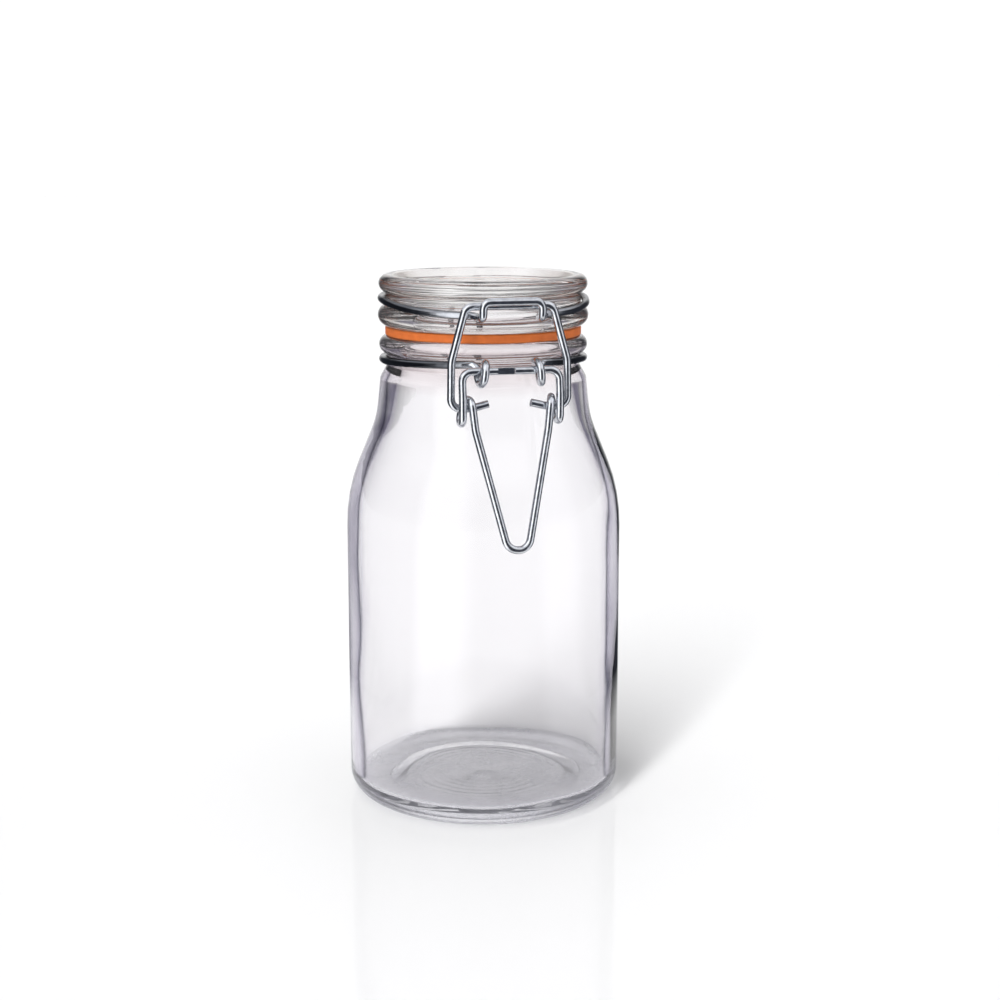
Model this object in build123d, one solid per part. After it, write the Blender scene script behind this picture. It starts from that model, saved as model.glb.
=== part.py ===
from build123d import *
from math import acos, atan2, cos, degrees, hypot, radians, sin, sqrt, tan
import os

# A clip-top storage jar: a bottle-shaped glass body, a glass lid on a rubber ring, and four bent wires.
# Millimetres. The origin is where the jar's axis meets the surface it stands on, and +Z is up.
# The latch is on the -Y side and the lid's hinge on the +Y side. Everything turns about lines along X.

# ---- glass body ----
BODY_R = 40.0
BODY_WALL = 3.4
HEEL_ROUND = 6.8
INNER_HEEL_ROUND = 2.0
FLOOR_UP = 5.6
PUSH_UP_R = 23.5
PUSH_UP_DEPTH = 1.4
PUSH_UP_SLOPE = 4.5
PUSH_UP_ROUND = 4.0
SHOULDER_UP = 90.7
SHOULDER_ROUND = 50.0
NECK_FOOT_R = 31.0
NECK_FOOT_UP = 112.6
NECK_FOOT_ROUND = 26.0
NECK_TOP_R = 29.8
NECK_TOP_UP = 124.2
NECK_TOP_ROUND = 3.0
GROOVE_R = 27.8
GROOVE_FOOT_UP = 127.8
GROOVE_FOOT_ROUND = 1.2
INNER_NECK_ROUND = 6.0

# ---- neck ring, which the gasket rests on ----
MOUTH_R = 24.6
MOUTH_EDGE_ROUND = 0.8
RIM_UP = 136.3
RING_R = 30.0
RING_BEAD_R = 2.6

# ---- gasket ----
GASKET_R = 28.2
GASKET_BORE_R = 24.0
GASKET_THICK = 2.6
GASKET_EDGE_ROUND = 0.5

# ---- glass lid ----
LOWER_BEAD_OUT = 30.3
LOWER_BEAD_R = 3.15
WAIST_R = 28.05
UPPER_BEAD_OUT = 30.0
UPPER_BEAD_R = 2.6
LID_TOP_UP = 153.6
DISH_DEPTH = 2.4
DISH_SLOPE = 40.0
DISH_ROUND = 1.5
LID_CROWN = 4.0
LID_HOLLOW_R = 20.4
LID_HOLLOW_ROUND = 3.0
SPIGOT_R = 23.4
SPIGOT_BELOW_RIM = 1.0
SPIGOT_ROUND = 1.0

# ---- wires ----
WIRE_R = 1.1
SEAT_GAP = 0.05
NECK_WIRE_R = GROOVE_R + WIRE_R + SEAT_GAP
NECK_WIRE_UP = 129.3
LID_WIRE_R = WAIST_R + WIRE_R + SEAT_GAP
LID_WIRE_UP = 146.9
RING_ARC = 30.0
RING_SLACK = 0.995

# ---- how each ring of wire leans, from its sides to the latch ----
SIDE_ANGLE = 90.0
LEAN_ARC = 16.0
LEAN_SLACK = 0.86
LEAN_GAP = 0.15
NECK_WIRE_FRONT_UP = 130.6
LID_WIRE_FRONT_UP = 144.3

# ---- rear hinge ----
HINGE_OUT = 33.9
HINGE_UP = NECK_WIRE_UP
HINGE_BAR_HALF = 9.5
HINGE_BAR_BEND = 3.0
HINGE_GAP = 0.1
CURL_R = 2 * WIRE_R + HINGE_GAP
CURL_ACROSS = 5.5
CURL_LEG_BEND = 2.5

# ---- front eyelets of the neck wire ----
EYELET_ACROSS = 8.7
EYELET_OUT = 33.5
EYELET_UP = 129.05
EYELET_R = 2.9
EYELET_ENTRY_BEND = 2.0
EYELET_ENTRY_GAP = 0.16
EYELET_TWIST = 0.6
EYELET_END_BACK = 1.0
NECK_WIRE_CLIMB_RUN = 2.0
NECK_WIRE_CLIMB_BEND = 7.0

# ---- front hook of the lid wire ----
HOOK_LEAVES = 24.0
HOOK_ROOT_RUN = 3.15
HOOK_ROOT_BEND = 1.7
HOOK_HEEL = (8.4, 31.9, 144.0)
HOOK_HEEL_BEND = 1.8
HOOK_ACROSS = 8.2
HOOK_OUT = 36.0
HOOK_FOOT_UP = 144.05
HOOK_TOE_BEND = 1.7
HOOK_BAR_UP = 148.5
HOOK_BAR_BEND = 2.0

# ---- lever: (across, out, up) of each bend of its left half ----
AXLE_OUT = 33.5
AXLE_UP = 129.65
BUTT_ACROSS = 1.0
BUTT_HALF_GAP = 0.1
CAM_ACROSS = 13.6
AXLE_BEND = 2.8
CAM_FRONT_OUT = 34.5
CAM_KNEE_UP = 122.5
CAM_KNEE_BEND = 8.0
CAM_BACK_OUT = 29.6
CAM_FOOT_UP = 115.4
CAM_TOP_UP = 121.85
CAM_BEND = 2.25
CAM_BACK_TOP_ACROSS = 12.3
HANDLE_ROOT = (11.1, 34.3)
HANDLE_KNEE = (10.2, 35.0, 113.5)
HANDLE_KNEE_BEND = 10.0
HANDLE_TIP = (2.9, 42.4, 81.65)
HANDLE_TIP_BEND = 3.5
AXLE_FLAT_LENGTH = 4.7
AXLE_FLAT_DEPTH = 0.35

# ---- bail: (across, out, up) of each bend of its left half ----
CAM_PIN_OUT = 32.0
CAM_PIN_UP = 119.4
STUB_END = (6.0, 32.0, 120.5)
STUB_BEND_ACROSS = 10.6
STUB_BEND = 3.0
BAIL_FOOT_ACROSS = 16.4
BAIL_FOOT_BEND = 2.8
BAIL_KINK = (16.2, 32.0, 132.3)
BAIL_KINK_BEND = 8.0
BAIL_TOP = (12.1, 31.9, 147.1)
BAIL_TOP_BEND = 2.6

# ---- a straight run shorter than this is left out ----
NO_RUN = 0.001


def latch_side(across, out, up):
    """A point on the latch side, given to the right of the middle plane, away from the axis and up."""
    return Vector(across, -out, up)


def hinge_side(across, out, up):
    """A point on the hinge side, given in the same way."""
    return Vector(across, out, up)


def rounded_edges(start, corners, end):
    """Straight runs from start to end, each (point, radius) corner rounded by a tangent arc.

    A corner of radius 0 stays sharp, and a run that its two arcs use up is left out.
    """
    points = [start] + [point for point, _ in corners] + [end]
    edges = []
    here = start
    for before, (corner, radius), after in zip(points, corners, points[2:]):
        arriving = (corner - before).normalized()
        leaving = (after - corner).normalized()
        half_turn = radians(arriving.get_angle(leaving)) / 2
        reach = radius * tan(half_turn)
        arc_start = corner - arriving * reach
        if (arc_start - here).length > NO_RUN:
            edges.append(Line(here, arc_start))
            here = arc_start
        if radius > 0:
            inward = (leaving - arriving).normalized()
            arc_middle = corner + inward * (radius / cos(half_turn) - radius)
            arc_end = corner + leaving * reach
            edges.append(ThreePointArc(here, arc_middle, arc_end))
            here = arc_end
    if (end - here).length > NO_RUN:
        edges.append(Line(here, end))
    return edges


def wire_solid(start, corners, end):
    """A round steel wire bent along a rounded path."""
    path = Wire([edge.edge() for edge in rounded_edges(start, corners, end)])
    section = Plane(origin=path @ 0, z_dir=path % 0) * Circle(WIRE_R)
    return sweep(section, path=path)


def other_half(corners):
    """The corners' mirror image across the middle plane, in the opposite order."""
    return [(Vector(-point.X, point.Y, point.Z), radius) for point, radius in reversed(corners)]


def leaving_angle(radius, across, out):
    """How far from the middle plane, in degrees, a straight run to a point leaves a ring of wire."""
    return degrees(atan2(across, out) + acos(radius / hypot(across, out)))


def ring_point(radius, angle, up, ahead=0.0):
    """The point at an angle, in degrees from the latch towards -X, or ahead of it along the tangent."""
    turned = radians(angle)
    across = -radius * sin(turned) + ahead * cos(turned)
    out = radius * cos(turned) + ahead * sin(turned)
    return latch_side(across, out, up)


def ring_corners(radius, up, first, last):
    """Corners whose roundings all but meet in one circle round the axis, from angle first to angle last."""
    arcs = round(abs(last - first) / RING_ARC)
    step = (last - first) / arcs
    outside = radius / cos(radians(step / 2))
    rounding = RING_SLACK * radius
    return [(ring_point(outside, first + (index + 0.5) * step, up), rounding) for index in range(arcs)]


def wire_r_past_bead(up, seated_r, bead_r, bead_out, bead_up):
    """The radius of a wire that lies on its seat, or at this height has to pass outside a bead of the glass."""
    reach = bead_r + WIRE_R + LEAN_GAP
    off = min(reach, abs(up - bead_up))
    return max(seated_r, bead_out - bead_r + sqrt(reach**2 - off**2))


def leaning_corners(r_at, first, last, first_up, last_up):
    """Corners of a stretch of ring that goes evenly out of level towards the latch, from first to last."""
    arcs = round(abs(last - first) / LEAN_ARC)
    step = (last - first) / arcs
    corners = []
    for index in range(arcs):
        angle = first + (index + 0.5) * step
        up = first_up + (last_up - first_up) * cos(radians(angle)) / cos(radians(last))
        radius = r_at(up)
        corners.append((ring_point(radius / cos(radians(step / 2)), angle, up), LEAN_SLACK * radius))
    return corners


def section_point(r, up):
    """A point of an outline in the XZ plane."""
    return Vector(r, 0, up)


def section_corners(*corners):
    """(radius, height, rounding) corners of an outline."""
    return [(section_point(r, up), rounding) for r, up, rounding in corners]


def bead_height(bead_r, centre_r, r):
    """How far above or below its middle a bead's round meets a given radius."""
    return sqrt(bead_r**2 - (r - centre_r) ** 2)


def revolved(edges):
    """The solid that a closed outline makes round the jar's axis."""
    return revolve(make_face(edges), axis=Axis.Z)


def glass_jar():
    bead_centre_r = RING_R - RING_BEAD_R
    bead_up = RIM_UP - RING_BEAD_R
    groove_top = section_point(GROOVE_R, bead_up - bead_height(RING_BEAD_R, bead_centre_r, GROOVE_R))
    bead_outermost = section_point(RING_R, bead_up)
    rim = section_point(bead_centre_r, RIM_UP)
    under_middle = section_point(0, PUSH_UP_DEPTH)
    floor_middle = section_point(0, FLOOR_UP)
    outside = rounded_edges(
        under_middle,
        section_corners(
            (PUSH_UP_R, PUSH_UP_DEPTH, PUSH_UP_ROUND),
            (PUSH_UP_R + PUSH_UP_SLOPE, 0, PUSH_UP_ROUND),
            (BODY_R, 0, HEEL_ROUND),
            (BODY_R, SHOULDER_UP, SHOULDER_ROUND),
            (NECK_FOOT_R, NECK_FOOT_UP, NECK_FOOT_ROUND),
            (NECK_TOP_R, NECK_TOP_UP, NECK_TOP_ROUND),
            (GROOVE_R, GROOVE_FOOT_UP, GROOVE_FOOT_ROUND),
        ),
        groove_top,
    )
    inside = rounded_edges(
        rim,
        section_corners(
            (MOUTH_R, RIM_UP, MOUTH_EDGE_ROUND),
            (MOUTH_R, GROOVE_FOOT_UP, INNER_NECK_ROUND),
            (NECK_FOOT_R - BODY_WALL, NECK_FOOT_UP, NECK_FOOT_ROUND),
            (BODY_R - BODY_WALL, SHOULDER_UP, SHOULDER_ROUND - BODY_WALL),
            (BODY_R - BODY_WALL, FLOOR_UP, INNER_HEEL_ROUND),
        ),
        floor_middle,
    )
    bead = ThreePointArc(groove_top, bead_outermost, rim)
    axis_line = Line(floor_middle, under_middle)
    return revolved(outside + [bead] + inside + [axis_line])


def glass_lid():
    underside_up = RIM_UP + GASKET_THICK
    lower_centre_r = LOWER_BEAD_OUT - LOWER_BEAD_R
    lower_up = underside_up + LOWER_BEAD_R
    upper_centre_r = UPPER_BEAD_OUT - UPPER_BEAD_R
    upper_up = LID_TOP_UP - UPPER_BEAD_R
    dish_up = LID_TOP_UP - DISH_DEPTH
    spigot_foot = RIM_UP - SPIGOT_BELOW_RIM
    lower_start = section_point(lower_centre_r, underside_up)
    waist_foot = section_point(WAIST_R, lower_up + bead_height(LOWER_BEAD_R, lower_centre_r, WAIST_R))
    waist_top = section_point(WAIST_R, upper_up - bead_height(UPPER_BEAD_R, upper_centre_r, WAIST_R))
    brow = section_point(
        upper_centre_r - UPPER_BEAD_R * sin(radians(DISH_SLOPE)),
        upper_up + UPPER_BEAD_R * cos(radians(DISH_SLOPE)),
    )
    dish_edge_r = brow.X - (brow.Z - dish_up) / tan(radians(DISH_SLOPE))
    hollow_middle = section_point(0, dish_up - LID_CROWN)
    dish_middle = section_point(0, dish_up)
    underside = rounded_edges(
        hollow_middle,
        section_corners(
            (LID_HOLLOW_R, dish_up - LID_CROWN, LID_HOLLOW_ROUND),
            (LID_HOLLOW_R, spigot_foot, SPIGOT_ROUND),
            (SPIGOT_R, spigot_foot, SPIGOT_ROUND),
            (SPIGOT_R, underside_up, 0),
        ),
        lower_start,
    )
    lower_bead = ThreePointArc(lower_start, section_point(LOWER_BEAD_OUT, lower_up), waist_foot)
    waist = Line(waist_foot, waist_top)
    upper_bead = ThreePointArc(waist_top, section_point(UPPER_BEAD_OUT, upper_up), brow)
    dish = rounded_edges(brow, section_corners((dish_edge_r, dish_up, DISH_ROUND)), dish_middle)
    axis_line = Line(dish_middle, hollow_middle)
    return revolved(underside + [lower_bead, waist, upper_bead] + dish + [axis_line])


def rubber_gasket():
    low = RIM_UP
    high = RIM_UP + GASKET_THICK
    middle_r = (GASKET_R + GASKET_BORE_R) / 2
    start = section_point(middle_r, low)
    around = rounded_edges(
        start,
        section_corners(
            (GASKET_R, low, GASKET_EDGE_ROUND),
            (GASKET_R, high, GASKET_EDGE_ROUND),
            (GASKET_BORE_R, high, GASKET_EDGE_ROUND),
            (GASKET_BORE_R, low, GASKET_EDGE_ROUND),
        ),
        start,
    )
    return revolved(around)


def eyelet_corners():
    """The left eyelet, from its cut end forwards, down, back and up to where the neck wire comes in."""
    inner_out = EYELET_OUT - EYELET_R
    outer_out = EYELET_OUT + EYELET_R
    low = EYELET_UP - EYELET_R
    high = EYELET_UP + EYELET_R
    entry_up = EYELET_UP + EYELET_ENTRY_BEND + EYELET_ENTRY_GAP
    cut_end = latch_side(-EYELET_ACROSS + 3 * EYELET_TWIST, EYELET_OUT - EYELET_END_BACK, high)
    corners = [
        (latch_side(-EYELET_ACROSS + 2 * EYELET_TWIST, outer_out, high), EYELET_R),
        (latch_side(-EYELET_ACROSS + EYELET_TWIST, outer_out, low), EYELET_R),
        (latch_side(-EYELET_ACROSS, inner_out, low), EYELET_R),
        (latch_side(-EYELET_ACROSS, inner_out, entry_up), EYELET_ENTRY_BEND),
    ]
    return cut_end, corners


def neck_wire_r(up):
    """How far out the neck wire lies at a height, in its groove or past the neck ring."""
    return wire_r_past_bead(up, NECK_WIRE_R, RING_BEAD_R, RING_R, RIM_UP - RING_BEAD_R)


def neck_band():
    cut_end, corners = eyelet_corners()
    front_r = neck_wire_r(NECK_WIRE_FRONT_UP)
    front_angle = leaving_angle(front_r, EYELET_ACROSS, EYELET_OUT - EYELET_R)
    rear_angle = 180 - leaving_angle(NECK_WIRE_R, HINGE_BAR_HALF, HINGE_OUT)
    climb_foot = ring_point(front_r, front_angle, NECK_WIRE_FRONT_UP, ahead=NECK_WIRE_CLIMB_RUN)
    corners.append((climb_foot, NECK_WIRE_CLIMB_BEND))
    leaning = leaning_corners(neck_wire_r, SIDE_ANGLE, front_angle, NECK_WIRE_UP, NECK_WIRE_FRONT_UP)
    corners += reversed(leaning)
    corners += ring_corners(NECK_WIRE_R, NECK_WIRE_UP, SIDE_ANGLE, rear_angle)
    corners.append((hinge_side(-HINGE_BAR_HALF, HINGE_OUT, HINGE_UP), HINGE_BAR_BEND))
    other_end = Vector(-cut_end.X, cut_end.Y, cut_end.Z)
    return wire_solid(cut_end, corners + other_half(corners), other_end)


def lid_wire_r(up):
    """How far out the lid wire lies at a height, in the waist or past the lower bead."""
    return wire_r_past_bead(up, LID_WIRE_R, LOWER_BEAD_R, LOWER_BEAD_OUT, RIM_UP + GASKET_THICK + LOWER_BEAD_R)


def lid_band():
    """One wire from the left curl round the waist to the hook, and back to the right curl."""
    inner_out = HINGE_OUT - CURL_R
    outer_out = HINGE_OUT + CURL_R
    low = HINGE_UP - CURL_R
    high = HINGE_UP + CURL_R
    rear_angle = 180 - leaving_angle(LID_WIRE_R, CURL_ACROSS, inner_out)
    curl_end = hinge_side(-CURL_ACROSS, HINGE_OUT, high)
    corners = [
        (hinge_side(-CURL_ACROSS, outer_out, high), CURL_R),
        (hinge_side(-CURL_ACROSS, outer_out, low), CURL_R),
        (hinge_side(-CURL_ACROSS, inner_out, low), CURL_R),
        (hinge_side(-CURL_ACROSS, inner_out, LID_WIRE_UP), CURL_LEG_BEND),
    ]
    corners += ring_corners(LID_WIRE_R, LID_WIRE_UP, rear_angle, SIDE_ANGLE)
    corners += leaning_corners(lid_wire_r, SIDE_ANGLE, HOOK_LEAVES, LID_WIRE_UP, LID_WIRE_FRONT_UP)
    front_r = lid_wire_r(LID_WIRE_FRONT_UP)
    heel_across, heel_out, heel_up = HOOK_HEEL
    corners += [
        (ring_point(front_r, HOOK_LEAVES, LID_WIRE_FRONT_UP, ahead=HOOK_ROOT_RUN), HOOK_ROOT_BEND),
        (latch_side(-heel_across, heel_out, heel_up), HOOK_HEEL_BEND),
        (latch_side(-HOOK_ACROSS, HOOK_OUT, HOOK_FOOT_UP), HOOK_TOE_BEND),
        (latch_side(-HOOK_ACROSS, HOOK_OUT, HOOK_BAR_UP), HOOK_BAR_BEND),
    ]
    other_end = hinge_side(CURL_ACROSS, HINGE_OUT, high)
    return wire_solid(curl_end, corners + other_half(corners), other_end)


def bail():
    kink_across, kink_out, kink_up = BAIL_KINK
    top_across, top_out, top_up = BAIL_TOP
    corners = [
        (latch_side(-STUB_BEND_ACROSS, CAM_PIN_OUT, CAM_PIN_UP), STUB_BEND),
        (latch_side(-BAIL_FOOT_ACROSS, CAM_PIN_OUT, CAM_PIN_UP), BAIL_FOOT_BEND),
        (latch_side(-kink_across, kink_out, kink_up), BAIL_KINK_BEND),
        (latch_side(-top_across, top_out, top_up), BAIL_TOP_BEND),
    ]
    end_across, end_out, end_up = STUB_END
    left_stub = latch_side(-end_across, end_out, end_up)
    right_stub = latch_side(end_across, end_out, end_up)
    return wire_solid(left_stub, corners + other_half(corners), right_stub)


def lever():
    root_across, root_out = HANDLE_ROOT
    knee_across, knee_out, knee_up = HANDLE_KNEE
    tip_across, tip_out, tip_up = HANDLE_TIP
    corners = [
        (latch_side(-CAM_ACROSS, AXLE_OUT, AXLE_UP), AXLE_BEND),
        (latch_side(-CAM_ACROSS, CAM_FRONT_OUT, CAM_KNEE_UP), CAM_KNEE_BEND),
        (latch_side(-CAM_ACROSS, CAM_FRONT_OUT, CAM_FOOT_UP), CAM_BEND),
        (latch_side(-CAM_ACROSS, CAM_BACK_OUT, CAM_FOOT_UP), CAM_BEND),
        (latch_side(-CAM_BACK_TOP_ACROSS, CAM_BACK_OUT, CAM_TOP_UP), CAM_BEND),
        (latch_side(-root_across, root_out, CAM_TOP_UP), CAM_BEND),
        (latch_side(-knee_across, knee_out, knee_up), HANDLE_KNEE_BEND),
        (latch_side(-tip_across, tip_out, tip_up), HANDLE_TIP_BEND),
    ]
    left_end = latch_side(BUTT_ACROSS - BUTT_HALF_GAP, AXLE_OUT, AXLE_UP)
    right_end = latch_side(BUTT_ACROSS + BUTT_HALF_GAP, AXLE_OUT, AXLE_UP)
    bent = wire_solid(left_end, corners + other_half(corners), right_end)
    return bent - axle_flat(left_end)


def axle_flat(left_end):
    """What is pressed away at the front of the axle's left end, where the wire was gripped to be cut."""
    flat_middle = left_end + Vector(-AXLE_FLAT_LENGTH / 2, -WIRE_R, 0)
    return Pos(flat_middle) * Box(AXLE_FLAT_LENGTH, 2 * AXLE_FLAT_DEPTH, 2 * WIRE_R)


NODES = {
    "glass_jar": glass_jar,
    "glass_lid": glass_lid,
    "rubber_gasket": rubber_gasket,
    "neck_band": neck_band,
    "lid_band": lid_band,
    "bail": bail,
    "lever": lever,
}

os.makedirs("parts", exist_ok=True)
for name, build in NODES.items():
    solid = build()
    solid.label = name
    export_step(solid, f"parts/{name}.step")
    print(name, round(solid.volume), "mm3")
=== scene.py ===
import bmesh
import bpy
from math import atan2, ceil, cos, degrees, pi, radians, sin, sqrt, tan
from mathutils import Euler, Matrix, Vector, noise


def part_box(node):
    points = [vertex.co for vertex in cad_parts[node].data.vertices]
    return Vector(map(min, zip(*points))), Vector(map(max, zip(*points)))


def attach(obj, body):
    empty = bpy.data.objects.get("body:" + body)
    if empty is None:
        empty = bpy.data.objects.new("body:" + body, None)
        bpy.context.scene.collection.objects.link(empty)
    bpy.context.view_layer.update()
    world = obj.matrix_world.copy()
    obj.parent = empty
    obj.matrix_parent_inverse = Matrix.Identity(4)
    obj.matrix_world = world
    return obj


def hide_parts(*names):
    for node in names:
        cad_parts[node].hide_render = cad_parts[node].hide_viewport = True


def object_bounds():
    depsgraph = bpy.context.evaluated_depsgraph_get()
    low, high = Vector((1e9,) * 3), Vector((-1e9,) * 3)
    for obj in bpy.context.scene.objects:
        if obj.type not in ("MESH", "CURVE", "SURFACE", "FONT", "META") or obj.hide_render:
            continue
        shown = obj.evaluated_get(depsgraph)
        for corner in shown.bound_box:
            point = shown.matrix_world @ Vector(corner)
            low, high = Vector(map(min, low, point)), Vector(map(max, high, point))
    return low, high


# The looks of a clip-top storage jar. The sizes of the object are in millimetres, and are turned into metres
# as each mesh is made. The latch faces -Y, the lid's hinge is on +Y and +Z is up, as in the frame.

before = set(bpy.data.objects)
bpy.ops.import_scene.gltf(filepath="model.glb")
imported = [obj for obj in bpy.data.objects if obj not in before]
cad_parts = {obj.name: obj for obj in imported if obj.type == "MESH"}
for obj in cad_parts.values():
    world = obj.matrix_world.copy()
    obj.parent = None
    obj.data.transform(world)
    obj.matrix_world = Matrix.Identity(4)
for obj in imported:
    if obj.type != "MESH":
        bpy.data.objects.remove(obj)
cad_low, cad_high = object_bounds()

MM = 0.001
JAR_LOW, JAR_HIGH = (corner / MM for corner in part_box("glass_jar"))
LID_LOW, LID_HIGH = (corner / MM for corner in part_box("glass_lid"))
GASKET_LOW, GASKET_HIGH = (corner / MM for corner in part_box("rubber_gasket"))

# ---- glass body ----
BODY_R = JAR_HIGH.x
RIM_UP = JAR_HIGH.z
BODY_WALL = 3.4
HEEL_ROUND = 6.8
INNER_HEEL_ROUND = 2.0
FLOOR_UP = 5.6
PUSH_UP_R = 23.5
PUSH_UP_DEPTH = 1.4
PUSH_UP_SLOPE = 4.5
PUSH_UP_ROUND = 4.0
PUSH_UP_RINGS_R = 22.5
PUSH_UP_RINGS_APART = 2.6
PUSH_UP_RINGS_HEIGHT = 0.05
PUSH_UP_RINGS_FADE = 4
PUSH_UP_STEP = 0.5
SHOULDER_UP = 90.7
SHOULDER_ROUND = 50.0
NECK_FOOT_R = 31.0
NECK_FOOT_UP = 112.6
NECK_FOOT_ROUND = 26.0
NECK_TOP_R = 29.8
NECK_TOP_UP = 124.2
NECK_TOP_ROUND = 3.0
GROOVE_R = 27.8
GROOVE_FOOT_UP = 127.8
GROOVE_FOOT_ROUND = 1.2
INNER_NECK_ROUND = 6.0
MOUTH_R = 24.6
MOUTH_EDGE_ROUND = 0.8
RING_R = 30.0
RING_BEAD_R = 2.6

# ---- glass lid ----
LID_TOP_UP = LID_HIGH.z
LOWER_BEAD_OUT = LID_HIGH.x
LOWER_BEAD_R = 3.15
WAIST_R = 28.05
UPPER_BEAD_OUT = 30.0
UPPER_BEAD_R = 2.6
DISH_DEPTH = 2.4
DISH_SLOPE = 40.0
DISH_ROUND = 1.5
LID_CROWN = 4.0
LID_HOLLOW_R = 20.4
LID_HOLLOW_ROUND = 3.0
SPIGOT_R = 23.4
SPIGOT_FOOT_UP = LID_LOW.z
SPIGOT_ROUND = 1.0

# ---- gasket ----
GASKET_R = GASKET_HIGH.x
GASKET_BORE_R = 24.0
GASKET_EDGE_ROUND = 0.5
GASKET_SEAT_GAP = 0.02

# ---- which of a piece's two finishes a stretch of its outline takes ----
OUTSIDE = 0
INSIDE = 1

# ---- how finely the meshes are drawn ----
TURN_STEPS = 224
ARC_STEP = radians(7)
RUN_STEP = 2.5
NO_TURN = ARC_STEP / 100
SAME_PLACE = 0.001

# ---- floor, in metres ----
FLOOR_R = 6.0
FLOOR_STEPS = 96
FLOOR_DROP = 0.00002
FLOOR_DARK = (0.945, 0.945, 0.945)
FLOOR_LIGHT = (0.95, 0.95, 0.95)
FLOOR_TONE_GRAIN = (3.0, 2.0)
FLOOR_GLOSS = 0.08
FLOOR_POLISH = (0.05, 0.07)
FLOOR_POLISH_GRAIN = (20.0, 2.0)
# how far from the jar the floor that shiny metal mirrors turns from the real one into the sheets below
NEAR_FLOOR = (0.09, 0.14)

# ---- light ----
SKY_STRENGTH = 0.54
MIRRORED_STRENGTH = 1.0
WHITE_STRENGTH = 1.05
# the strip of suns: how many, the heights and turns of the lowest and the highest in degrees, and how much
# more the high ones give
STRIP_SUNS = 15
STRIP_CLIMBS = (12.0, 82.0)
STRIP_TURNS = (36.0, 43.0)
STRIP_RISE = 1.9
STRIP_SPREAD = 5.0
STRIP_STRENGTH = 1.9

# ---- camera: degrees, metres, and millimetres for the lens ----
CAMERA_TURN = 13.5
CAMERA_DIP = 11.28
CAMERA_BACK = 0.5203
CAMERA_ASIDE = 0.00485
CAMERA_UP = 0.1911
CAMERA_LENS = 65.0
CAMERA_SENSOR = 36.0
CAMERA_NEAREST = 0.01

# ---- what stands round the jar ----
# (place, colour) stops by the sine of the height: the sky as glass sees it, and as shiny surfaces mirror it
SKY_CLIMB = (
    (0.0, (0.95, 0.95, 0.97)),
    (0.10, (0.34, 0.32, 0.43)),
    (0.30, (0.42, 0.41, 0.50)),
    (0.60, (1.0, 1.0, 1.0)),
    (1.0, (1.0, 1.0, 1.0)),
)
MIRRORED_CLIMB = (
    (0.0, (0.0, 0.0, 0.0)),
    (0.36, (0.0, 0.0, 0.0)),
    (0.55, (1.0, 1.0, 1.05)),
    (0.92, (1.0, 1.0, 1.05)),
    (1.0, (0.2, 0.21, 0.23)),
)
# (place, colour) stops all the way round from -X: the sheets that shiny surfaces mirror, and the one behind
STUDIO_DARK = (0.05, 0.055, 0.07)
SHEETS = (
    (0.0, STUDIO_DARK),
    (0.05, (0.08, 0.085, 0.10)),
    (0.08, (2.0, 2.0, 2.05)),
    (0.15, (2.0, 2.0, 2.05)),
    (0.20, STUDIO_DARK),
    (0.33, STUDIO_DARK),
    (0.36, (1.1, 1.1, 1.15)),
    (0.42, (1.1, 1.1, 1.15)),
    (0.46, STUDIO_DARK),
    (0.64, STUDIO_DARK),
    (0.68, (1.0, 1.0, 1.0)),
    (0.74, (1.0, 1.0, 1.0)),
    (0.78, STUDIO_DARK),
    (1.0, STUDIO_DARK),
)
BACK_SHEET = (
    (0.0, (0.0, 0.0, 0.0)),
    (0.60, (0.0, 0.0, 0.0)),
    (0.68, (1.8, 1.8, 1.8)),
    (0.74, (1.8, 1.8, 1.8)),
    (0.82, (0.0, 0.0, 0.0)),
    (1.0, (0.0, 0.0, 0.0)),
)

# ---- glass: (place, colour) stops from seen face on to seen along the surface: the glass's own tint face on, and painted shade in dark edge lines towards edge-on ----
JAR_TINT_AND_EDGE_SHADE = (
    (0.0, (0.976, 0.969, 0.981)),
    (0.50, (0.965, 0.955, 0.975)),
    (0.61, (0.80, 0.77, 0.85)),
    (0.66, (0.02, 0.02, 0.04)),
    (0.72, (0.40, 0.37, 0.48)),
    (0.82, (0.72, 0.69, 0.80)),
    (0.93, (0.22, 0.20, 0.29)),
    (1.0, (0.005, 0.005, 0.010)),
)
INSIDE_TINT_AND_EDGE_SHADE = (
    (0.0, (0.985, 0.98, 0.985)),
    (0.75, (0.97, 0.965, 0.975)),
    (0.92, (0.75, 0.73, 0.79)),
    (1.0, (0.40, 0.38, 0.45)),
)
LID_TINT_AND_EDGE_SHADE = (
    (0.0, (0.975, 0.965, 0.96)),
    (0.40, (0.93, 0.91, 0.895)),
    (0.62, (0.50, 0.45, 0.41)),
    (0.80, (0.17, 0.14, 0.12)),
    (1.0, (0.010, 0.008, 0.006)),
)
# how far the painted edge shade wanders, and how much of it is left on level faces and in the heel
EDGE_WANDER = 0.10
EDGE_GRAIN = (55.0, 2.0)
EDGE_STRETCH = (1, 1, 0.35)
LEVEL_FROM = 0.8
LEVEL_EDGE = 0.35
HEEL_EDGE = 0.6
HEEL_FADE = (0.005, 0.009)
GLASS_IOR = 1.5

# ---- what the lamps and the floor's soft light lose in each wall, and gain in the base ----
WALL_SHADE = (0.47, 0.47, 0.475)
BASE_SHADE = (1.24, 1.24, 1.25)

# ---- glass: (height in mm, colour) stops from the jar's base to the lid's top ----
GLASS_CLIMB = (
    (0.0, (0.95, 0.95, 0.97)),
    (5.0, (0.95, 0.95, 0.97)),
    (9.0, (1.0, 1.0, 1.0)),
    (121.0, (1.0, 1.0, 1.0)),
    (126.0, (0.87, 0.82, 0.82)),
    (RIM_UP, (0.87, 0.82, 0.82)),
    (RIM_UP + GASKET_EDGE_ROUND, (1.0, 1.0, 1.0)),
    (LID_TOP_UP, (1.0, 1.0, 1.0)),
)
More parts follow.
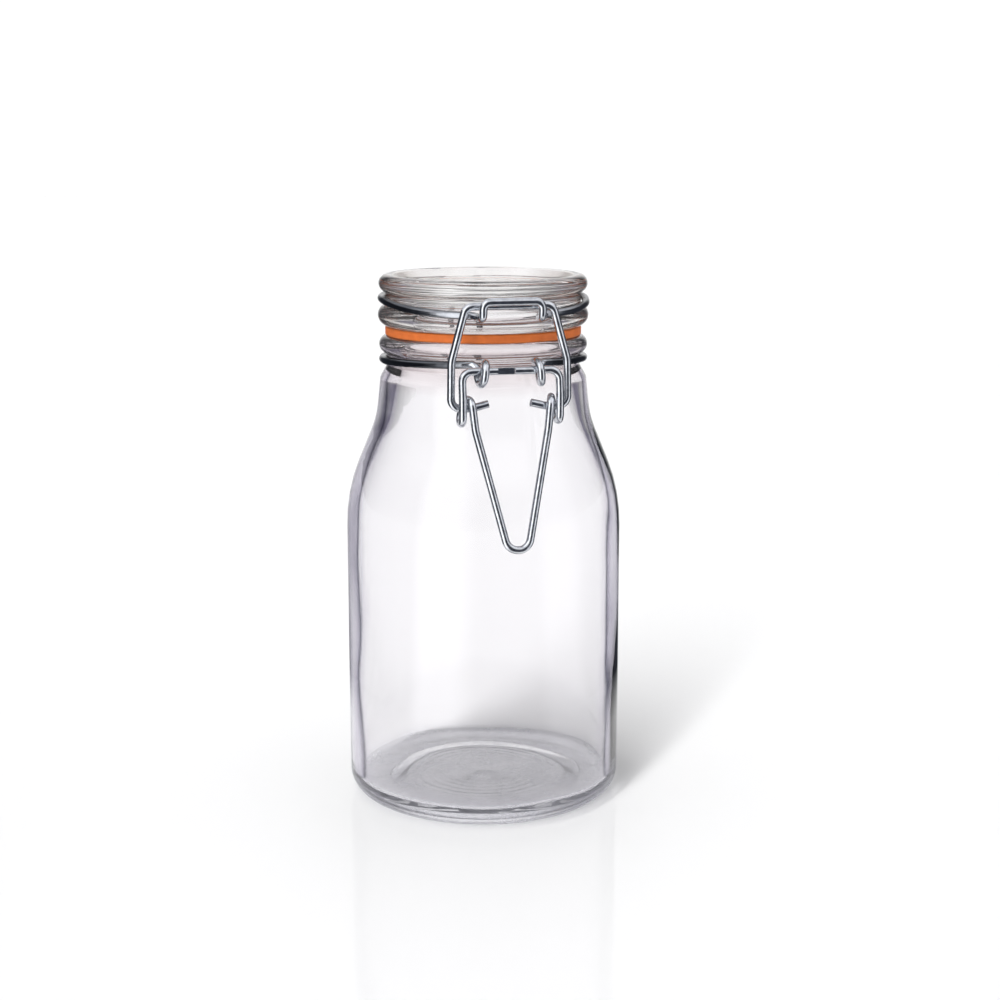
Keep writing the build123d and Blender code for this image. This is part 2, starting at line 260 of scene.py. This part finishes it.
# how milky it is, the colour of the milk, and its grain
FROST_CLIMB = (
    (0.0, (0.24, 0.24, 0.24)),
    (4.8, (0.26, 0.26, 0.26)),
    (5.5, (0.02, 0.02, 0.02)),
    (9.0, (0.0, 0.0, 0.0)),
    (124.0, (0.0, 0.0, 0.0)),
    (128.0, (0.06, 0.06, 0.06)),
    (LID_TOP_UP - DISH_DEPTH, (0.04, 0.04, 0.04)),
    (LID_TOP_UP, (0.01, 0.01, 0.01)),
)
FROST_COLOURS = (
    (0.0, (0.78, 0.78, 0.85)),
    (9.0, (0.78, 0.78, 0.85)),
    (124.0, (0.95, 0.89, 0.88)),
    (LID_TOP_UP, (0.95, 0.92, 0.90)),
)
FROST_DARK = (0.68, 0.68, 0.68)
FROST_LIGHT = (1.15, 1.15, 1.15)
FROST_GRAIN = (900.0, 3.0)
FROST_PATCHES = (0.6, 1.4)
FROST_PATCH_GRAIN = (90.0, 3.0)

# ---- how uneven the glass is: in the mesh, in millimetres, and in the finish, in metres ----
OUTSIDE_WAVE = 0.05
INSIDE_WAVE = 0.5
WAVE_GRAIN = 24.0
WAVE_UPWARD_STRETCH = 0.6
FLAT_BELOW_UP = 3.0
JAR_RIPPLE = 0.05
LID_RIPPLE = 0.04
RIPPLE_HEIGHT = 0.0003
RIPPLE_DETAIL = 2.0
RIPPLE_STRETCH = (1, 1, 0.5)
FINE_RIPPLES = 6
FINE_RIPPLE_HEIGHT = RIPPLE_HEIGHT / 24

# the part of a noise's range that is spread over a map
NOISE_LOW = 0.3
NOISE_HIGH = 0.7

# ---- rubber and wire: colours, roughness, and the (fineness, detail) of the noises between them ----
RUBBER_DARK = (0.86, 0.185, 0.027)
RUBBER_LIGHT = (0.98, 0.235, 0.04)
RUBBER_TONE_GRAIN = (400.0, 4.0)
RUBBER_ROUGHNESS = (0.42, 0.58)
RUBBER_ROUGHNESS_GRAIN = (900.0, 3.0)
RUBBER_BUMP = (0.00003, 0.6)
RING_DARK = (0.48, 0.50, 0.53)
RING_LIGHT = (0.70, 0.72, 0.75)
LATCH_DARK = (0.50, 0.52, 0.55)
LATCH_LIGHT = (0.74, 0.76, 0.79)
WIRE_TONE_GRAIN = (500.0, 6.0)
WIRE_ROUGHNESS = (0.12, 0.26)
WIRE_ROUGHNESS_GRAIN = (700.0, 4.0)
WIRE_BUMP = (0.00001, 0.5)
FINE_GRAIN = (2500.0, 3.0)
# a ring of wire gets painted shade as far out as it lies in its groove behind the glass beads, and none
# beyond
GROOVE_PAINTED_SHADE = (0.05, 0.055, 0.065)
GROOVE_SHADE_SHARE = 0.88
GROOVE_SHADE_TO = (WAIST_R + 2.9, WAIST_R + 4.4)


def finished(mesh_data, name):
    """A smooth-shaded object made from a bmesh."""
    bmesh.ops.recalc_face_normals(mesh_data, faces=mesh_data.faces)
    mesh = bpy.data.meshes.new(name)
    mesh_data.to_mesh(mesh)
    mesh_data.free()
    mesh.shade_smooth()
    piece = bpy.data.objects.new(name, mesh)
    bpy.context.scene.collection.objects.link(piece)
    return piece


def straight(start, end):
    """Points from start up to, but without, end, no further apart than a run step."""
    steps = max(1, ceil((end - start).length / RUN_STEP))
    return [start.lerp(end, index / steps) for index in range(steps)]


def bend(start, corner, end, radius):
    """Points along the tangent arc that rounds a corner, without its last point."""
    arriving = (corner - start).normalized()
    leaving = (end - corner).normalized()
    turn = arriving.angle(leaving)
    if radius == 0 or turn < NO_TURN:
        return [corner], corner
    reach = radius * tan(turn / 2)
    arc_start = corner - arriving * reach
    to_centre = (leaving - arriving).normalized() * (radius / cos(turn / 2))
    centre = corner + to_centre
    spoke = arc_start - centre
    steps = max(2, ceil(turn / ARC_STEP))
    points = []
    for index in range(steps):
        angle = turn * index / steps
        points.append(centre + spoke * cos(angle) + arriving * (radius * sin(angle)))
    return points, corner + leaving * reach


def rounded(start, corners, end):
    """The points of a path from start to end whose (point, radius) corners are rounded."""
    places = [start] + [point for point, _ in corners] + [end]
    points = []
    here = start
    for (corner, radius), after, before in zip(corners, places[2:], places):
        arc, arc_end = bend(before, corner, after, radius)
        if (arc[0] - here).length > SAME_PLACE:
            points += straight(here, arc[0])
        points += arc
        here = arc_end
    if (end - here).length > SAME_PLACE:
        points += straight(here, end)
    return points + [end]


def section(r, up):
    """A point of a turned outline."""
    return Vector((r, 0, up))


def outline(start, corners, end):
    """An outline from (r, up) to (r, up) round (r, up, rounding) corners."""
    return rounded(section(*start), [(section(r, up), radius) for r, up, radius in corners], section(*end))


def bead(centre_r, centre_up, radius, first, last):
    """The round of a bead from one angle above the horizontal to another, in degrees."""
    steps = ceil(radians(abs(last - first)) / ARC_STEP)
    angles = [radians(first + (last - first) * index / steps) for index in range(steps + 1)]
    return [section(centre_r + radius * cos(angle), centre_up + radius * sin(angle)) for angle in angles]


def merged(*stretches):
    """Stretches of (points, unevenness, finish) joined into one list with one entry for each point."""
    drawn = []
    for points, wave, finish_index in stretches:
        for point in points:
            if not drawn or (point - drawn[-1][0]).length > SAME_PLACE:
                drawn.append((point, wave, finish_index))
    return drawn


def waved(point, outward, angle, wave):
    """A point of a turned surface, moved along its normal a little as uneven glass is."""
    across = Vector((cos(angle), sin(angle), 0))
    place = across * point.x + Vector((0, 0, point.z))
    sample = Vector((place.x, place.y, place.z * WAVE_UPWARD_STRETCH)) / WAVE_GRAIN
    calm = min(1.0, max(0.0, point.z - FLAT_BELOW_UP) / FLAT_BELOW_UP)
    moved = wave * calm * noise.noise(sample + Vector((wave, 0, 0)))
    return (place + (across * outward.x + Vector((0, 0, outward.z))) * moved) * MM


def turned(name, drawn, closed=False):
    """A solid turned round the jar's axis from merged stretches. Points on the axis become poles."""
    solid = bmesh.new()
    rings = []
    places = [point for point, _, _ in drawn]
    for before, (point, wave, _), after in zip(places[:1] + places, drawn, places[1:] + places[-1:]):
        if point.x < SAME_PLACE:
            rings.append([solid.verts.new((0, 0, point.z * MM))])
            continue
        run = (after - before).normalized()
        outward = Vector((run.z, 0, -run.x))
        angles = [2 * pi * index / TURN_STEPS for index in range(TURN_STEPS)]
        rings.append([solid.verts.new(waved(point, outward, angle, wave)) for angle in angles])
    pairs = list(zip(rings, rings[1:], [finish_index for _, _, finish_index in drawn]))
    if closed:
        pairs.append((rings[-1], rings[0], drawn[-1][2]))
    for low, high, finish_index in pairs:
        for index in range(TURN_STEPS):
            after = (index + 1) % TURN_STEPS
            if len(low) == 1:
                face = solid.faces.new((low[0], high[after], high[index]))
            elif len(high) == 1:
                face = solid.faces.new((low[index], low[after], high[0]))
            else:
                face = solid.faces.new((low[index], low[after], high[after], high[index]))
            face.material_index = finish_index
    return finished(solid, name)


def jar_body():
    """The blown bottle: its outside, the ring at its neck, and its inside."""
    bead_centre_r = RING_R - RING_BEAD_R
    bead_up = RIM_UP - RING_BEAD_R
    groove_step = GROOVE_R - bead_centre_r
    groove_drop = sqrt(RING_BEAD_R**2 - groove_step**2)
    push_up = []
    for index in range(ceil(PUSH_UP_RINGS_R / PUSH_UP_STEP) + 1):
        r = index * PUSH_UP_STEP
        fading = (r / PUSH_UP_RINGS_R) ** PUSH_UP_RINGS_FADE
        height = PUSH_UP_RINGS_HEIGHT * fading * cos(2 * pi * r / PUSH_UP_RINGS_APART)
        push_up.append(section(r, PUSH_UP_DEPTH + height))
    outside = outline(
        (push_up[-1].x, PUSH_UP_DEPTH),
        [
            (PUSH_UP_R, PUSH_UP_DEPTH, PUSH_UP_ROUND),
            (PUSH_UP_R + PUSH_UP_SLOPE, 0, PUSH_UP_ROUND),
            (BODY_R, 0, HEEL_ROUND),
            (BODY_R, SHOULDER_UP, SHOULDER_ROUND),
            (NECK_FOOT_R, NECK_FOOT_UP, NECK_FOOT_ROUND),
            (NECK_TOP_R, NECK_TOP_UP, NECK_TOP_ROUND),
            (GROOVE_R, GROOVE_FOOT_UP, GROOVE_FOOT_ROUND),
        ],
        (GROOVE_R, bead_up - groove_drop),
    )
    ring = bead(bead_centre_r, bead_up, RING_BEAD_R, -degrees(atan2(groove_drop, groove_step)), 90)
    inside = outline(
        (bead_centre_r, RIM_UP),
        [
            (MOUTH_R, RIM_UP, MOUTH_EDGE_ROUND),
            (MOUTH_R, GROOVE_FOOT_UP, INNER_NECK_ROUND),
            (NECK_FOOT_R - BODY_WALL, NECK_FOOT_UP, NECK_FOOT_ROUND),
            (BODY_R - BODY_WALL, SHOULDER_UP, SHOULDER_ROUND - BODY_WALL),
            (BODY_R - BODY_WALL, FLOOR_UP, INNER_HEEL_ROUND),
        ],
        (0, FLOOR_UP),
    )
    drawn = merged(
        (push_up[:-1], 0, OUTSIDE),
        (outside, OUTSIDE_WAVE, OUTSIDE),
        (ring, 0, OUTSIDE),
        (inside, INSIDE_WAVE, INSIDE),
    )
    return turned("jar_body", drawn)


def lid():
    """The pressed lid: spigot and hollow below, two beads with a waist between them, and a dished top."""
    underside_up = GASKET_HIGH.z
    lower_centre_r = LOWER_BEAD_OUT - LOWER_BEAD_R
    lower_up = underside_up + LOWER_BEAD_R
    upper_centre_r = UPPER_BEAD_OUT - UPPER_BEAD_R
    upper_up = LID_TOP_UP - UPPER_BEAD_R
    dish_up = LID_TOP_UP - DISH_DEPTH
    hollow_up = dish_up - LID_CROWN
    lower_step = WAIST_R - lower_centre_r
    upper_step = WAIST_R - upper_centre_r
    lower_rise = sqrt(LOWER_BEAD_R**2 - lower_step**2)
    upper_drop = sqrt(UPPER_BEAD_R**2 - upper_step**2)
    underside = outline(
        (0, hollow_up),
        [
            (LID_HOLLOW_R, hollow_up, LID_HOLLOW_ROUND),
            (LID_HOLLOW_R, SPIGOT_FOOT_UP, SPIGOT_ROUND),
            (SPIGOT_R, SPIGOT_FOOT_UP, SPIGOT_ROUND),
            (SPIGOT_R, underside_up, 0),
        ],
        (lower_centre_r, underside_up),
    )
    lower_bead = bead(lower_centre_r, lower_up, LOWER_BEAD_R, -90, degrees(atan2(lower_rise, lower_step)))
    upper_bead = bead(
        upper_centre_r, upper_up, UPPER_BEAD_R, -degrees(atan2(upper_drop, upper_step)), 90 + DISH_SLOPE
    )
    brow = upper_bead[-1]
    dish_edge_r = brow.x - (brow.z - dish_up) / tan(radians(DISH_SLOPE))
    dish = outline((brow.x, brow.z), [(dish_edge_r, dish_up, DISH_ROUND)], (0, dish_up))
    drawn = merged(
        (underside, INSIDE_WAVE, INSIDE),
        (lower_bead, 0, OUTSIDE),
        (upper_bead, 0, OUTSIDE),
        (dish, OUTSIDE_WAVE, OUTSIDE),
    )
    return turned("lid_glass", drawn)


def gasket():
    """The flat rubber ring between the lid and the neck."""
    low = GASKET_LOW.z + GASKET_SEAT_GAP
    high = GASKET_HIGH.z - GASKET_SEAT_GAP
    middle_r = (GASKET_R + GASKET_BORE_R) / 2
    ring = outline(
        (middle_r, low),
        [
            (GASKET_R, low, GASKET_EDGE_ROUND),
            (GASKET_R, high, GASKET_EDGE_ROUND),
            (GASKET_BORE_R, high, GASKET_EDGE_ROUND),
            (GASKET_BORE_R, low, GASKET_EDGE_ROUND),
        ],
        (middle_r, low),
    )
    return turned("gasket_ring", merged((ring[:-1], 0, OUTSIDE)), closed=True)


def node_material(name):
    """An empty node material with its output."""
    material = bpy.data.materials.new(name)
    material.use_nodes = True
    tree = material.node_tree
    tree.nodes.clear()
    output = tree.nodes.new("ShaderNodeOutputMaterial")
    return material, tree, output


def object_place(tree):
    """The place of a point in its object's own frame."""
    return tree.nodes.new("ShaderNodeTexCoord").outputs["Object"]


def upward_part(tree, vector):
    """The Z part of a linked vector."""
    split = tree.nodes.new("ShaderNodeSeparateXYZ")
    tree.links.new(vector, split.inputs["Vector"])
    return split.outputs["Z"]


def length(tree, vector):
    """The length of a linked vector."""
    measure = tree.nodes.new("ShaderNodeVectorMath")
    measure.operation = "LENGTH"
    tree.links.new(vector, measure.inputs[0])
    return measure.outputs["Value"]


def around(tree, vector):
    """How far round from -X a linked vector points, from 0 to 1."""
    gradient = tree.nodes.new("ShaderNodeTexGradient")
    gradient.gradient_type = "RADIAL"
    tree.links.new(vector, gradient.inputs["Vector"])
    return gradient.outputs["Fac"]


def spread(tree, value, start, end, first, last):
    """A linked value carried from one range to another, and held at its ends."""
    node = tree.nodes.new("ShaderNodeMapRange")
    for name, number in (("From Min", start), ("From Max", end), ("To Min", first), ("To Max", last)):
        node.inputs[name].default_value = number
    tree.links.new(value, node.inputs["Value"])
    return node.outputs["Result"]


def noise_map(tree, scale, detail, low=0.0, high=1.0, stretch=(1, 1, 1)):
    """A noise over the object in space, spread between two values."""
    mapping = tree.nodes.new("ShaderNodeMapping")
    mapping.inputs["Scale"].default_value = stretch
    texture = tree.nodes.new("ShaderNodeTexNoise")
    texture.inputs["Scale"].default_value = scale
    texture.inputs["Detail"].default_value = detail
    tree.links.new(object_place(tree), mapping.inputs["Vector"])
    tree.links.new(mapping.outputs["Vector"], texture.inputs["Vector"])
    return spread(tree, texture.outputs["Fac"], NOISE_LOW, NOISE_HIGH, low, high)


def colour_between(tree, factor, first, second):
    """A colour that goes from first to second as the factor goes from 0 to 1."""
    mix = tree.nodes.new("ShaderNodeMix")
    mix.data_type = "RGBA"
    mix.inputs["A"].default_value = (*first, 1)
    mix.inputs["B"].default_value = (*second, 1)
    tree.links.new(factor, mix.inputs["Factor"])
    return mix.outputs["Result"]


def bumped(tree, height, distance, strength, base=None):
    """A bump, on top of another one if it is given."""
    bump = tree.nodes.new("ShaderNodeBump")
    bump.inputs["Distance"].default_value = distance
    bump.inputs["Strength"].default_value = strength
    tree.links.new(height, bump.inputs["Height"])
    if base is not None:
        tree.links.new(base, bump.inputs["Normal"])
    return bump.outputs["Normal"]


def ramp(tree, factor, stops):
    """A colour ramp through (place, colour) stops."""
    shade = tree.nodes.new("ShaderNodeValToRGB")
    elements = shade.color_ramp.elements
    for place, colour in stops[1:-1]:
        elements.new(place).color = (*colour, 1)
    first, last = elements[0], elements[-1]
    first.position, first.color = stops[0][0], (*stops[0][1], 1)
    last.position, last.color = stops[-1][0], (*stops[-1][1], 1)
    tree.links.new(factor, shade.inputs["Fac"])
    return shade.outputs["Color"]


def climbing(tree, height, stops):
    """A colour that follows the height above the base through (height in mm, colour) stops."""
    climb = spread(tree, height, 0.0, LID_TOP_UP * MM, 0.0, 1.0)
    return ramp(tree, climb, [(up / LID_TOP_UP, colour) for up, colour in stops])


def mixed(tree, factor, first, second):
    """A shader that goes from first to second as the factor goes from 0 to 1."""
    mix = tree.nodes.new("ShaderNodeMixShader")
    tree.links.new(factor, mix.inputs["Fac"])
    tree.links.new(first, mix.inputs[1])
    tree.links.new(second, mix.inputs[2])
    return mix.outputs["Shader"]


def blended(tree, kind, first, second):
    """Two linked colours put together, as the lighter of both or as their product."""
    mix = tree.nodes.new("ShaderNodeMix")
    mix.data_type = "RGBA"
    mix.blend_type = kind
    mix.inputs["Factor"].default_value = 1.0
    tree.links.new(first, mix.inputs["A"])
    tree.links.new(second, mix.inputs["B"])
    return mix.outputs["Result"]


def calculated(tree, operation, first, second):
    """The result of a sum on one or two linked values; a plain number is set on the node."""
    node = tree.nodes.new("ShaderNodeMath")
    node.operation = operation
    for socket, value in zip(node.inputs, (first, second)):
        if isinstance(value, (int, float)):
            socket.default_value = value
        else:
            tree.links.new(value, socket)
    return node.outputs["Value"]


def seen_mirrored(tree):
    """1 where a shiny surface mirrors this one, 0 where it is seen straight or through glass."""
    path = tree.nodes.new("ShaderNodeLightPath")
    return calculated(tree, "MULTIPLY", path.outputs["Is Glossy Ray"], path.outputs["Is Reflection Ray"])


def tint_and_painted_edge_shade(tree, tint_and_shade_stops, up):
    """The glass's own tint, with painted shade in dark lines where it is seen edge-on, weaker on level faces
    and in the heel.
    """
    facing = tree.nodes.new("ShaderNodeLayerWeight")
    facing.inputs["Blend"].default_value = 0.5
    wander = noise_map(tree, *EDGE_GRAIN, -EDGE_WANDER, EDGE_WANDER, EDGE_STRETCH)
    normal = tree.nodes.new("ShaderNodeNewGeometry").outputs["Normal"]
    levelness = calculated(tree, "ABSOLUTE", upward_part(tree, normal), 0.0)
    slanted = spread(tree, levelness, LEVEL_FROM, 1.0, 1.0, LEVEL_EDGE)
    above_heel = spread(tree, up, *HEEL_FADE, HEEL_EDGE, 1.0)
    edge = calculated(tree, "ADD", facing.outputs["Facing"], wander)
    edge = calculated(tree, "MULTIPLY", edge, calculated(tree, "MULTIPLY", slanted, above_heel))
    # painted shade: the ramp turns dark where the glass is seen edge-on, standing in for dark surroundings
    # seen in it
    return ramp(tree, edge, tint_and_shade_stops)


def rippled(tree, size):
    """The normal of glass with broad ripples of a size and fine ones on top."""
    broad = noise_map(tree, 1 / size, RIPPLE_DETAIL, stretch=RIPPLE_STRETCH)
    fine = noise_map(tree, FINE_RIPPLES / size, RIPPLE_DETAIL, stretch=RIPPLE_STRETCH)
    return bumped(tree, fine, FINE_RIPPLE_HEIGHT, 1.0, bumped(tree, broad, RIPPLE_HEIGHT, 1.0))


def milky(tree, up):
    """The white matt shader of the milk in the glass."""
    matt = tree.nodes.new("ShaderNodeBsdfDiffuse")
    grain = colour_between(tree, noise_map(tree, *FROST_GRAIN), FROST_DARK, FROST_LIGHT)
    tree.links.new(blended(tree, "MULTIPLY", grain, climbing(tree, up, FROST_COLOURS)), matt.inputs["Color"])
    return matt.outputs["BSDF"]


def open_to_lamps(tree, up):
    """A clear shader that dims the light through a wall and lets more of it in at the base."""
    clear = tree.nodes.new("ShaderNodeBsdfTransparent")
    at_base = calculated(tree, "LESS_THAN", up, (FLOOR_UP + INNER_HEEL_ROUND) * MM)
    tree.links.new(colour_between(tree, at_base, WALL_SHADE, BASE_SHADE), clear.inputs["Color"])
    return clear.outputs["BSDF"]


def clear_glass(name, tint_and_shade_stops, ripple):
    """Clear glass, with painted shade where it is seen edge-on and milky in places, that lets the lamps
    through.
    """
    material, tree, output = node_material(name)
    up = upward_part(tree, object_place(tree))
    shader = tree.nodes.new("ShaderNodeBsdfPrincipled")
    shader.inputs["Transmission Weight"].default_value = 1.0
    shader.inputs["Roughness"].default_value = 0.0
    shader.inputs["IOR"].default_value = GLASS_IOR
    # the glass's own tint with its painted edge shade, times the tint by height
    glass_colour_and_shade = blended(tree, "MULTIPLY", tint_and_painted_edge_shade(tree, tint_and_shade_stops, up), climbing(tree, up, GLASS_CLIMB))
    tree.links.new(glass_colour_and_shade, shader.inputs["Base Color"])
    tree.links.new(rippled(tree, ripple), shader.inputs["Normal"])
    patches = noise_map(tree, *FROST_PATCH_GRAIN, *FROST_PATCHES)
    frost = calculated(tree, "MULTIPLY", patches, climbing(tree, up, FROST_CLIMB))
    glass = mixed(tree, frost, shader.outputs["BSDF"], milky(tree, up))
    path = tree.nodes.new("ShaderNodeLightPath")
    lighting = calculated(tree, "MAXIMUM", path.outputs["Is Shadow Ray"], path.outputs["Is Diffuse Ray"])
    tree.links.new(mixed(tree, lighting, glass, open_to_lamps(tree, up)), output.inputs["Surface"])
    return material


def rubber():
    """Matt orange rubber, a little uneven in tone."""
    material, tree, output = node_material("orange_rubber")
    shader = tree.nodes.new("ShaderNodeBsdfPrincipled")
    tone = colour_between(tree, noise_map(tree, *RUBBER_TONE_GRAIN), RUBBER_DARK, RUBBER_LIGHT)
    tree.links.new(tone, shader.inputs["Base Color"])
    roughness = noise_map(tree, *RUBBER_ROUGHNESS_GRAIN, *RUBBER_ROUGHNESS)
    tree.links.new(roughness, shader.inputs["Roughness"])
    tree.links.new(bumped(tree, noise_map(tree, *FINE_GRAIN), *RUBBER_BUMP), shader.inputs["Normal"])
    tree.links.new(shader.outputs["BSDF"], output.inputs["Surface"])
    return material


def from_axis(tree):
    """How far a point is from the jar's axis."""
    level = tree.nodes.new("ShaderNodeVectorMath")
    level.operation = "MULTIPLY"
    level.inputs[1].default_value = (1, 1, 0)
    tree.links.new(object_place(tree), level.inputs[0])
    return length(tree, level.outputs["Vector"])


def plated_wire(name, dark, light, groove_shade_share):
    """Zinc-plated drawn wire with small grey stains, and painted shade by a share where it lies in its
    groove.
    """
    material, tree, output = node_material(name)
    shader = tree.nodes.new("ShaderNodeBsdfPrincipled")
    shader.inputs["Metallic"].default_value = 1.0
    unshaded_tone = colour_between(tree, noise_map(tree, *WIRE_TONE_GRAIN), dark, light)
    # painted shade: the wire's colour goes towards near-black by a share where it lies in its groove
    groove_end, unshaded_from = GROOVE_SHADE_TO
    groove_shade = spread(tree, from_axis(tree), groove_end * MM, unshaded_from * MM, groove_shade_share, 0.0)
    tone = tree.nodes.new("ShaderNodeMix")
    tone.data_type = "RGBA"
    tone.inputs["B"].default_value = (*GROOVE_PAINTED_SHADE, 1)
    tree.links.new(groove_shade, tone.inputs["Factor"])
    tree.links.new(unshaded_tone, tone.inputs["A"])
    tree.links.new(tone.outputs["Result"], shader.inputs["Base Color"])
    tree.links.new(noise_map(tree, *WIRE_ROUGHNESS_GRAIN, *WIRE_ROUGHNESS), shader.inputs["Roughness"])
    tree.links.new(bumped(tree, noise_map(tree, *FINE_GRAIN), *WIRE_BUMP), shader.inputs["Normal"])
    tree.links.new(shader.outputs["BSDF"], output.inputs["Surface"])
    return material


def finish(piece, materials, body, node):
    """Gives a new piece its materials and the body it rides on, and hides the CAD node it stands for."""
    for material in materials:
        piece.data.materials.append(material)
    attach(piece, body)
    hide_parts(node)


def floor():
    """A wide pale floor with a faint gloss, which shiny metal sees as dark with bright sheets beside it."""
    material, tree, output = node_material("pale_floor")
    matt = tree.nodes.new("ShaderNodeBsdfDiffuse")
    tone = colour_between(tree, noise_map(tree, *FLOOR_TONE_GRAIN), FLOOR_DARK, FLOOR_LIGHT)
    tree.links.new(tone, matt.inputs["Color"])
    gloss = tree.nodes.new("ShaderNodeBsdfGlossy")
    tree.links.new(noise_map(tree, *FLOOR_POLISH_GRAIN, *FLOOR_POLISH), gloss.inputs["Roughness"])
    polished = tree.nodes.new("ShaderNodeMixShader")
    polished.inputs["Fac"].default_value = FLOOR_GLOSS
    tree.links.new(matt.outputs["BSDF"], polished.inputs[1])
    tree.links.new(gloss.outputs["BSDF"], polished.inputs[2])
    place = object_place(tree)
    sheets = tree.nodes.new("ShaderNodeEmission")
    tree.links.new(ramp(tree, around(tree, place), SHEETS), sheets.inputs["Color"])
    far = spread(tree, length(tree, place), *NEAR_FLOOR, 0.0, 1.0)
    mirrored = calculated(tree, "MULTIPLY", seen_mirrored(tree), far)
    surface = mixed(tree, mirrored, polished.outputs["Shader"], sheets.outputs["Emission"])
    tree.links.new(surface, output.inputs["Surface"])
    disc = bmesh.new()
    bmesh.ops.create_circle(disc, cap_ends=True, segments=FLOOR_STEPS, radius=FLOOR_R)
    plane = finished(disc, "floor")
    plane.location.z = cad_low.z - FLOOR_DROP
    plane.data.materials.append(material)


def background(tree, colour, strength):
    """A world light of a linked colour."""
    light = tree.nodes.new("ShaderNodeBackground")
    light.inputs["Strength"].default_value = strength
    tree.links.new(colour, light.inputs["Color"])
    return light.outputs["Background"]


def sky():
    """Soft light from above with a darker band low down, and plain white behind the floor."""
    world = bpy.data.worlds.new("studio")
    bpy.context.scene.world = world
    world.use_nodes = True
    tree = world.node_tree
    tree.nodes.clear()
    output = tree.nodes.new("ShaderNodeOutputWorld")
    direction = tree.nodes.new("ShaderNodeTexCoord").outputs["Generated"]
    up = upward_part(tree, direction)
    turn = around(tree, direction)
    seen = blended(tree, "LIGHTEN", ramp(tree, up, SKY_CLIMB), ramp(tree, turn, BACK_SHEET))
    mirrored = blended(tree, "LIGHTEN", ramp(tree, up, MIRRORED_CLIMB), ramp(tree, turn, SHEETS))
    studio = background(tree, seen, SKY_STRENGTH)
    unseen = mixed(tree, seen_mirrored(tree), studio, background(tree, mirrored, MIRRORED_STRENGTH))
    white = tree.nodes.new("ShaderNodeBackground")
    white.inputs["Color"].default_value = (1, 1, 1, 1)
    white.inputs["Strength"].default_value = WHITE_STRENGTH
    path = tree.nodes.new("ShaderNodeLightPath")
    surface = mixed(tree, path.outputs["Is Camera Ray"], unseen, white.outputs["Background"])
    tree.links.new(surface, output.inputs["Surface"])


def lamps():
    """A tall narrow strip of light at the front left, as a stack of suns, whose shadow fades as it goes."""
    lowest, highest = STRIP_CLIMBS
    first_turn, last_turn = STRIP_TURNS
    steps = [index / (STRIP_SUNS - 1) for index in range(STRIP_SUNS)]
    climbs = [lowest + (highest - lowest) * step for step in steps]
    whole = sum(climb**STRIP_RISE for climb in climbs)
    for step, climb in zip(steps, climbs):
        turn = first_turn + (last_turn - first_turn) * step
        light = bpy.data.lights.new(f"strip_{climb:.0f}", "SUN")
        light.energy = STRIP_STRENGTH * climb**STRIP_RISE / whole / sin(radians(climb))
        light.angle = radians(STRIP_SPREAD)
        holder = bpy.data.objects.new(light.name, light)
        holder.rotation_euler = Euler((radians(90 - climb), 0, radians(-turn)))
        holder.visible_glossy = False
        holder.visible_transmission = False
        bpy.context.scene.collection.objects.link(holder)


def camera():
    """A long lens a little above the lid, with the latch turned to the right."""
    turned_by = radians(CAMERA_TURN)
    forward = Vector((sin(turned_by), cos(turned_by), 0))
    right = Vector((cos(turned_by), -sin(turned_by), 0))
    lens = bpy.data.cameras.new("camera")
    lens.lens = CAMERA_LENS
    lens.sensor_width = CAMERA_SENSOR
    lens.clip_start = CAMERA_NEAREST
    holder = bpy.data.objects.new("camera", lens)
    holder.location = forward * -CAMERA_BACK + right * CAMERA_ASIDE + Vector((0, 0, CAMERA_UP))
    holder.rotation_euler = Euler((radians(90 - CAMERA_DIP), 0, -turned_by))
    bpy.context.scene.collection.objects.link(holder)
    bpy.context.scene.camera = holder


camera()
floor()
sky()
lamps()
bpy.context.scene.view_settings.view_transform = "Standard"

jar_outer = clear_glass("jar_glass", JAR_TINT_AND_EDGE_SHADE, JAR_RIPPLE)
jar_inner = clear_glass("jar_inside", INSIDE_TINT_AND_EDGE_SHADE, JAR_RIPPLE)
lid_outer = clear_glass("lid_glass", LID_TINT_AND_EDGE_SHADE, LID_RIPPLE)
lid_inner = clear_glass("lid_inside", INSIDE_TINT_AND_EDGE_SHADE, LID_RIPPLE)
finish(jar_body(), [jar_outer, jar_inner], "jar", "glass_jar")
finish(lid(), [lid_outer, lid_inner], "lid", "glass_lid")
finish(gasket(), [rubber()], "lid", "rubber_gasket")

# the ring wires carry the painted groove shade, the latch wires none
ring_metal = plated_wire("ring_wire", RING_DARK, RING_LIGHT, GROOVE_SHADE_SHARE)
latch_metal = plated_wire("latch_wire", LATCH_DARK, LATCH_LIGHT, 0.0)
metals = {"neck_band": ring_metal, "lid_band": ring_metal, "bail": latch_metal, "lever": latch_metal}
for node, metal in metals.items():
    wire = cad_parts[node]
    wire.data.materials.clear()
    wire.data.materials.append(metal)
